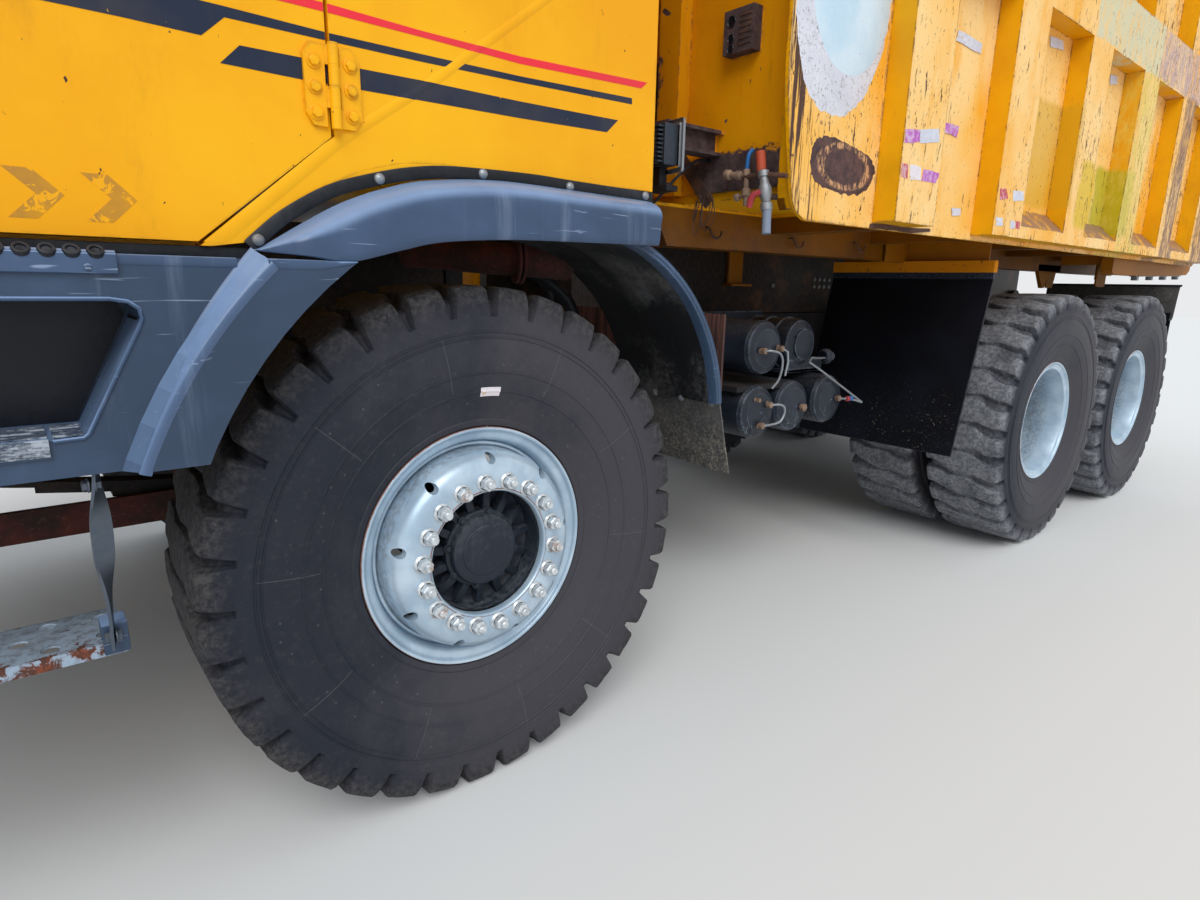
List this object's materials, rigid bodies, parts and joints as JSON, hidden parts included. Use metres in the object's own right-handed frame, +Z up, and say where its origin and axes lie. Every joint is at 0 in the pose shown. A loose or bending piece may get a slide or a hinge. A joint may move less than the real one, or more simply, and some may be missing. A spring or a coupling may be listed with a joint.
{
  "type": "mining dump truck",
  "caption": "Wide three-axle mining dump truck with a rear-tipping ribbed body, a front hoist, twin rear tyres and a forward cab with side doors.",
  "frame": {"origin": "on the ground under the middle of the truck", "axes": "+X forward to the bumper, +Y to the truck's left, +Z up"},
  "size_m": [9.216, 4.02, 3.88],
  "materials": {
    "yellow_paint": "glossy, worn",
    "slate_plastic": "glossy, scuffed",
    "black_paint": "satin, dusty",
    "cast_black": "rough, dusty",
    "tyre_rubber": "dusty",
    "flap_rubber": "dusty",
    "silver_paint": "silver paint, worn",
    "rod_steel": "polished",
    "rusty_steel": "rusty",
    "clear_glass": "clear",
    "seat_cover": "woven",
    "dash_plastic": "grained",
    "lamp_lens": "clear lens",
    "body_paint": "worn, streaked"
  },
  "bodies": {
    "chassis": {"frame_rails": "black_paint", "cross_members": "black_paint", "frame_brackets": "black_paint", "front_bumper": "slate_plastic", "front_grille": "dash_plastic", "cab_shell": "yellow_paint", "cab_glass": "clear_glass", "cab_seats": "seat_cover", "dashboard": "dash_plastic", "step_panels": "slate_plastic", "hanging_steps": "rusty_steel", "front_fenders": "slate_plastic", "engine_block": "cast_black", "front_axle_beam": "cast_black", "front_springs": "cast_black", "rear_axles": "cast_black", "bogie_springs": "cast_black", "propeller_shafts": "cast_black", "air_tanks": "black_paint", "side_tanks": "black_paint", "exhaust_silencer": "rusty_steel", "mirrors": "dash_plastic", "lamps": "lamp_lens", "rear_mudflaps": "flap_rubber"},
    "left_door": {"door_left": "yellow_paint", "door_glass_left": "clear_glass"},
    "right_door": {"door_right": "yellow_paint", "door_glass_right": "clear_glass"},
    "left_knuckle": {"knuckle_left": "cast_black"},
    "right_knuckle": {"knuckle_right": "cast_black"},
    "steering_tie_rod": {"tie_rod": "cast_black"},
    "front_left_wheel": {"tyre_front_left": "tyre_rubber", "rim_front_left": "silver_paint"},
    "front_right_wheel": {"tyre_front_right": "tyre_rubber", "rim_front_right": "silver_paint"},
    "rear1_left_wheels": {"tyres_rear1_left": "tyre_rubber", "rims_rear1_left": "silver_paint"},
    "rear1_right_wheels": {"tyres_rear1_right": "tyre_rubber", "rims_rear1_right": "silver_paint"},
    "rear2_left_wheels": {"tyres_rear2_left": "tyre_rubber", "rims_rear2_left": "silver_paint"},
    "rear2_right_wheels": {"tyres_rear2_right": "tyre_rubber", "rims_rear2_right": "silver_paint"},
    "dump_body": {"body_floor": "body_paint", "body_beams": "body_paint", "body_side_left": "body_paint", "body_side_right": "body_paint", "body_front_wall": "body_paint", "body_mudflaps": "flap_rubber"},
    "hoist_barrel": {"hoist_barrel": "yellow_paint"},
    "hoist_tube_1": {"hoist_stage_1": "rod_steel"},
    "hoist_tube_2": {"hoist_stage_2": "rod_steel"},
    "hoist_tube_3": {"hoist_stage_3": "rod_steel"},
    "hoist_rod": {"hoist_stage_4": "rod_steel"}
  },
  "joints": [
    {"name": "front_left_roll", "type": "hinge", "parent": "left_knuckle", "child": "front_left_wheel", "pos_m": [2.458, 1.367, 0.745], "axis": [0, 1, 0], "continuous": true},
    {"name": "front_right_roll", "type": "hinge", "parent": "right_knuckle", "child": "front_right_wheel", "pos_m": [2.458, -1.367, 0.745], "axis": [0, 1, 0], "continuous": true},
    {"name": "rear1_left_roll", "type": "hinge", "parent": "chassis", "child": "rear1_left_wheels", "pos_m": [-1.322, 1.3, 0.745], "axis": [0, 1, 0], "continuous": true},
    {"name": "rear1_right_roll", "type": "hinge", "parent": "chassis", "child": "rear1_right_wheels", "pos_m": [-1.322, -1.3, 0.745], "axis": [0, 1, 0], "continuous": true},
    {"name": "rear2_left_roll", "type": "hinge", "parent": "chassis", "child": "rear2_left_wheels", "pos_m": [-2.932, 1.3, 0.745], "axis": [0, 1, 0], "continuous": true},
    {"name": "rear2_right_roll", "type": "hinge", "parent": "chassis", "child": "rear2_right_wheels", "pos_m": [-2.932, -1.3, 0.745], "axis": [0, 1, 0], "continuous": true},
    {"name": "left_steer", "type": "hinge", "parent": "chassis", "child": "left_knuckle", "pos_m": [2.458, 1.1, 0.745], "axis": [0, 0, 1], "range_deg": [-30, 30]},
    {"name": "right_steer", "type": "hinge", "parent": "chassis", "child": "right_knuckle", "pos_m": [2.458, -1.1, 0.745], "axis": [0, 0, 1], "range_deg": [-30, 30]},
    {"name": "tie_rod_swing", "type": "hinge", "parent": "left_knuckle", "child": "steering_tie_rod", "pos_m": [2.198, 1.1, 0.555], "axis": [0, 0, 1], "range_deg": [-30, 30]},
    {"name": "left_door_swing", "type": "hinge", "parent": "chassis", "child": "left_door", "pos_m": [2.834, 1.607, 2.4], "axis": [0, 0, 1], "range_deg": [0, 75]},
    {"name": "right_door_swing", "type": "hinge", "parent": "chassis", "child": "right_door", "pos_m": [2.834, -1.607, 2.4], "axis": [0, 0, -1], "range_deg": [0, 75]},
    {"name": "body_tip", "type": "hinge", "parent": "chassis", "child": "dump_body", "pos_m": [-3.842, 0, 1.43], "axis": [0, -1, 0], "range_deg": [0, 45]},
    {"name": "hoist_swing", "type": "hinge", "parent": "chassis", "child": "hoist_barrel", "pos_m": [1.698, 0, 1.15], "axis": [0, -1, 0], "range_deg": [0, 26.11]},
    {"name": "hoist_slide_1", "type": "slide", "parent": "hoist_barrel", "child": "hoist_tube_1", "axis": [0, 0, 1], "range_m": [0, 1.0358]},
    {"name": "hoist_slide_2", "type": "slide", "parent": "hoist_tube_1", "child": "hoist_tube_2", "axis": [0, 0, 1], "range_m": [0, 1.0358]},
    {"name": "hoist_slide_3", "type": "slide", "parent": "hoist_tube_2", "child": "hoist_tube_3", "axis": [0, 0, 1], "range_m": [0, 1.0358]},
    {"name": "hoist_slide_4", "type": "slide", "parent": "hoist_tube_3", "child": "hoist_rod", "axis": [0, 0, 1], "range_m": [0, 1.0358]}
  ],
  "couplings": [
    {"joint": "right_steer", "follows": "left_steer", "ratio": 1},
    {"joint": "tie_rod_swing", "follows": "left_steer", "ratio": -1},
    {"joint": "hoist_swing", "follows": "body_tip", "ratio": 0.5791},
    {"joint": "hoist_slide_1", "follows": "body_tip", "m_per_rad": 1.3175},
    {"joint": "hoist_slide_2", "follows": "body_tip", "m_per_rad": 1.3175},
    {"joint": "hoist_slide_3", "follows": "body_tip", "m_per_rad": 1.3175},
    {"joint": "hoist_slide_4", "follows": "body_tip", "m_per_rad": 1.3175}
  ]
}
